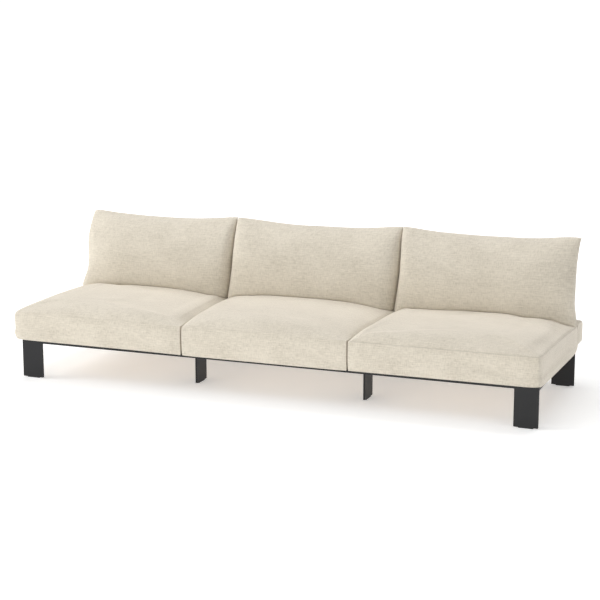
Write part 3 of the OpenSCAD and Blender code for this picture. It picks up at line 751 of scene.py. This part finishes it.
def back_point(k, u, t, face):
    """Place of share [u, t] on back cushion k: face -1 is its front and 1 its rear."""
    outer = row_end(k, u) > 0
    left = u < 0
    power = np.where(outer, OUTER_POWER, JOINT_POWER)
    belly = BACK_THICK + BACK_BELLY * np.sin(math.pi * t)
    front = BACK_EDGE + (1 - t ** BACK_TOP_POWER) ** 0.5 * belly
    turn = (np.maximum(t, BACK_TURN) - BACK_TURN) / BACK_TURN_RUN
    rear = np.where(t <= BACK_TURN, 0, BACK_EDGE * turn ** 2)
    seam = (front + rear) / 2
    full = (1 - np.abs(u) ** power) ** 0.5
    depth = seam + (front - seam if face < 0 else rear - seam) * full
    low = BACK_LEFT + 0 * t if k == 0 else joint_x(k, t) + BACK_GAP
    high = BACK_RIGHT + 0 * t if k == 2 else joint_x(k + 1, t) - BACK_GAP
    drawn = np.where(left, *FOOT_IN) * ease(t / FOOT_RISE)
    drawn = drawn - np.where(left, *HEAD_OUT) * ease((t - FOOT_RISE) / HEAD_RISE)
    corner = (np.abs(u) * t) ** 12
    drawn = np.where(outer, drawn * np.abs(u) ** power + np.where(left, *CORNER_IN) * corner, 0)
    x = (low + high + (high - low) * u) / 2 - np.sign(u) * drawn
    top = BACK_H - BACK_SAG * (1 - np.abs(u) ** 2.4)
    s = BACK_ROOT + (top - BACK_ROOT) * t - CORNER_DROP * np.where(outer, 1.0, 0.5) * corner
    y = -BACK_PLANE - depth
    return np.stack([
        x,
        LEAN_Y + s * math.sin(LEAN) + y * math.cos(LEAN),
        LEAN_Z + s * math.cos(LEAN) - y * math.sin(LEAN),
    ], -1)


def leaning(p):
    """Places of points on the backs' own axes: rearwards and up."""
    dy, dz = p[:, 1] - LEAN_Y, p[:, 2] - LEAN_Z
    sin, cos = math.sin(LEAN), math.cos(LEAN)
    return dy * cos - dz * sin, dy * sin + dz * cos


def seat_heights():
    """Gives a function for the height of the seats' shown surface under a point."""
    deps = bpy.context.evaluated_depsgraph_get()
    trees = [BVHTree.FromObject(obj, deps) for obj in seats]

    def height(x, y):
        hits = [tree.ray_cast(Vector((x, y, 1.0)), Vector((0, 0, -1)))[0] for tree in trees]
        return max((hit.z for hit in hits if hit is not None), default=None)
    return height


under = seat_heights()


def stand(p, out):
    """Sets points on the seats: the cloth rolls under itself just above them."""
    for i in np.nonzero(p[:, 2] < STAND_Z)[0]:
        z = under(p[i, 0], p[i, 1])
        if z is None:
            continue
        rise = p[i, 2] - z
        if rise < ROLL:
            bend = ROLL - math.sqrt(max(0.0, ROLL ** 2 - (ROLL - max(0.0, rise)) ** 2))
            p[i, :2] -= out[i, :2] * bend
            z = under(p[i, 0], p[i, 1]) or z
            p[i, 2] = max(p[i, 2], z + STAND_GAP)
    return p


def back_shell(k):
    shell = Shell()
    us, ts = spread(90, 0.76), np.sin(np.linspace(0, math.pi / 2, 46))
    u, t = np.meshgrid(us, ts)
    front, rear = back_point(k, u, t, -1), back_point(k, u, t, 1)
    to_side, to_top = (1 - np.abs(u)) * (PARTS[k + 1] - PARTS[k]) / 2, (1 - t) * 0.6
    seam = np.minimum(to_side, to_top)
    along = np.where(to_side < to_top, t * BACK_CLOTH, front[:, :, 0])
    uv = np.stack([front[:, :, 0], t * BACK_CLOTH], -1)
    shell.grid(front, uv, seam, along)
    shell.grid(rear, uv + [0, 1.0], seam, along, flip=True)
    share = np.linspace(0, 1, FOOT_STEPS)[:, None]
    foot = front[0] * (1 - share[:, :, None]) + rear[0] * share[:, :, None]
    foot_uv = np.stack([foot[:, :, 0], np.tile(share * FOOT_CLOTH, (1, len(us))) + 2.0], -1)
    shell.grid(foot, foot_uv, np.full(foot.shape[:2], 0.1), foot[:, :, 0], flip=True)
    return shell


def make_back(k):
    obj, notes = back_shell(k).build(f"{BAYS[k]}_back_cover")
    start, out = coords(obj), normals(obj)
    up = leaning(start)[1]
    hold = np.clip(1 - (up - BACK_ROOT) / 0.05, 0, 1)
    t = (up - BACK_ROOT) / (BACK_H - BACK_ROOT)
    hold = np.maximum(hold, near_joint(k, start[:, 0], *joints_beside(k, t)))
    side = np.sign(np.round(out[:, 1] * 2))
    p = inflate(obj, BACK_PRESSURE, BACK_CAP, hold, notes[:, 0], side)
    p = sew(p, out, notes, 40 + k, depth=-0.0008, pucker=0.0011, reach=0.026)
    p += out * (0.0022 * waves(start, 60 + k, 0.14, 0.45))[:, None]
    # The cushion leans on the straps, between its neighbours, and stands on the seats
    depth, up = leaning(p)
    t = (up - BACK_ROOT) / (BACK_H - BACK_ROOT)
    keep_between(k, p, *joints_beside(k, t), BACK_GAP)
    limit = np.minimum(depth, -BACK_PLANE)
    p[:, 1] += (limit - depth) * math.cos(LEAN)
    p[:, 2] -= (limit - depth) * math.sin(LEAN)
    p = stand(p + ORIGIN, out)
    finish_soft(obj, p, f"{BAYS[k]}_back", f"{BAYS[k]}_back_cushion")


for bay in range(3):
    make_back(bay)


# Bolster

BOLSTER_D, BOLSTER_H, BOLSTER_HALF = 0.156, 0.118, 1.404
BOLSTER_Y, BOLSTER_Z = 0.856, 0.2124
BOLSTER_LOW_R, BOLSTER_HIGH_R = 0.010, 0.028
# Distances from its ends of the rings that round its edges: by END_PULL, over END_RUN
END_RINGS = np.array([0, 0.0015, 0.005, 0.010, 0.018])
END_PULL, END_RUN = 0.006, 0.014
END_BULGE, END_STEPS = 0.006, 7


def bolster_section():
    """The bolster's outline, [rearwards, up], closed."""
    wide, high, low_r, high_r = BOLSTER_D, BOLSTER_H, BOLSTER_LOW_R, BOLSTER_HIGH_R
    section = []

    def arc(y, z, r, a0, a1, n):
        for a in np.radians(np.linspace(a0, a1, n)):
            section.append((y + r * math.cos(a), z + r * math.sin(a)))

    def run(y_from, z_from, y_to, z_to, n):
        for s in np.linspace(0, 1, n)[1:-1]:
            section.append((y_from + (y_to - y_from) * s, z_from + (z_to - z_from) * s))

    arc(wide - low_r, low_r, low_r, -90, 0, 4)
    run(wide, low_r, wide, high - high_r, 9)
    arc(wide - high_r, high - high_r, high_r, 0, 90, 8)
    run(wide - high_r, high, high_r, high, 12)
    arc(high_r, high - high_r, high_r, 90, 180, 8)
    run(0, high - high_r, 0, low_r, 9)
    arc(low_r, low_r, low_r, 180, 270, 4)
    run(low_r, 0, wide - low_r, 0, 14)
    return np.array(section + section[:1])


def make_bolster():
    section = bolster_section()
    middle = np.array([BOLSTER_D / 2, BOLSTER_H / 2])
    away = np.abs(middle - section).max(axis=1, keepdims=True)
    inward = (middle - section) / np.maximum(away, 1e-6)
    xs = np.concatenate([
        -BOLSTER_HALF + END_RINGS,
        np.linspace(-BOLSTER_HALF + 0.030, BOLSTER_HALF - 0.030, 230),
        BOLSTER_HALF - END_RINGS[::-1],
    ])
    rings = []
    for x in xs:
        end = BOLSTER_HALF - abs(x)
        ring = section + inward * (END_PULL * max(0.0, 1 - end / END_RUN) ** 2)
        rings.append(np.stack([
            np.full(len(ring), x), BOLSTER_Y + ring[:, 0], BOLSTER_Z + ring[:, 1],
        ], -1))
    rings = np.array(rings)
    along = lengths(section)
    uv = np.stack([rings[:, :, 0], np.tile(along, (len(xs), 1))], -1)
    shell = Shell()
    far = BOLSTER_HALF - np.abs(rings[:, :, 0])
    shell.grid(rings, uv, far, np.tile(along, (len(xs), 1)), flip=True)
    for ring, outward in ((rings[0], -1), (rings[-1], 1)):
        centre = np.array([ring[0, 0], BOLSTER_Y + middle[0], BOLSTER_Z + middle[1]])
        disc = []
        for s in np.linspace(0, 1, END_STEPS):
            bulge = END_BULGE * outward * math.sin(s * math.pi / 2)
            disc.append(ring * (1 - s) + centre * s + [bulge, 0, 0])
        disc = np.array(disc)
        reach = np.linalg.norm(disc - disc[:1], axis=-1)
        shell.grid(
            disc, disc[:, :, 1:3], reach, np.tile(along, (END_STEPS, 1)), flip=outward > 0,
        )
    obj, notes = shell.build("bolster_linen")
    p = sew(coords(obj), normals(obj), notes, 70, pucker=0.0005)
    ripple = waves(p, 50, 0.06, 0.35)
    p[:, 2] += 0.0012 * ripple * np.clip((p[:, 2] - BOLSTER_Z - 0.03) / 0.05, 0, 1)
    finish_soft(obj, p + ORIGIN, "base", "bolster_cover")


make_bolster()


# Stage, light and camera

FLOOR_HALF = 400.0
# The floor's glow: distances from the sofa's middle between which it grows, and its strengths there
FLOOR_GLOW = (3.0, 11.0, 0.36, 0.86)


def make_floor():
    half = FLOOR_HALF
    corners = [(-half, -half, 0), (half, -half, 0), (half, half, 0), (-half, half, 0)]
    obj = new_mesh("floor", corners, [(0, 1, 2, 3)])
    n = Nodes("floor_paint")
    x, y = n.split(n.coordinates("Object"))[:2]
    squares = n.math("ADD", n.math("POWER", x, 2.0), n.math("POWER", y, 2.0))
    glow = n.map_range(n.math("SQRT", squares), FLOOR_GLOW, "SMOOTHSTEP")
    n.link(glow, n.shader.inputs["Emission Strength"])
    n.set(
        Base_Color=(0.90, 0.90, 0.90, 1), Roughness=0.9, Specular_IOR_Level=0.1,
        Emission_Color=(1, 1, 1, 1),
    )
    obj.data.materials.append(n.mat)


make_floor()

# Each soft light's place, the point that it faces, its size and its power in watts
LIGHTS = {
    "key": ((1.0, -20.0, 4.0), (0, 0, 0.3), (15.0, 6.0), 680),
    "front_left": ((-10.0, -15.0, 8.0), (0, 0, 0.3), (10.0, 7.5), 500),
    "left": ((-15.0, -4.0, 9.5), (0, 0, 0.3), (10.0, 7.5), 1850),
    "top": ((0.0, 7.0, 15.0), (0, -0.2, 0.4), (15.0, 7.5), 1200),
    "right": ((13.0, -8.0, 10.5), (0, 0, 0.3), (10.0, 7.5), 290),
}
for light_name, (place, target, size, power) in LIGHTS.items():
    light = bpy.data.lights.new(light_name, "AREA")
    light.shape = "RECTANGLE"
    light.size, light.size_y = size
    light.energy = power
    light_object = bpy.data.objects.new(light_name, light)
    light_object.location = place
    way = Vector(target) - Vector(place)
    light_object.rotation_euler = way.to_track_quat("-Z", "Y").to_euler()
    bpy.context.scene.collection.objects.link(light_object)

# The studio's walls are pale near the horizon and dimmer overhead: strengths at two heights
world = bpy.data.worlds.new("studio")
world.use_nodes = True
tree = world.node_tree
up_way = tree.nodes.new("ShaderNodeSeparateXYZ")
tree.links.new(tree.nodes.new("ShaderNodeTexCoord").outputs["Generated"], up_way.inputs[0])
wall = tree.nodes.new("ShaderNodeMapRange")
wall.interpolation_type = "SMOOTHSTEP"
for socket, value in (("From Min", 0.10), ("From Max", 0.26), ("To Min", 0.86), ("To Max", 0.22)):
    wall.inputs[socket].default_value = value
tree.links.new(up_way.outputs[2], wall.inputs["Value"])
tree.nodes["Background"].inputs[0].default_value = (1, 1, 1, 1)
tree.links.new(wall.outputs[0], tree.nodes["Background"].inputs[1])
bpy.context.scene.world = world
bpy.context.scene.view_settings.view_transform = "Standard"

# The photograph's view: its angles down and round are in radians
LENS, SENSOR = 92.14, 36
CAMERA_PLACE = (2.9077, -7.4238, 2.0607)
CAMERA_DOWN, CAMERA_ROUND = 0.20231, 0.37067
camera = bpy.data.cameras.new("camera")
camera.sensor_width = SENSOR
camera.lens = LENS
camera.clip_end = 2000
camera_object = bpy.data.objects.new("camera", camera)
camera_object.location = CAMERA_PLACE
camera_object.rotation_euler = (math.pi / 2 - CAMERA_DOWN, 0, CAMERA_ROUND)
bpy.context.scene.collection.objects.link(camera_object)
bpy.context.scene.camera = camera_object
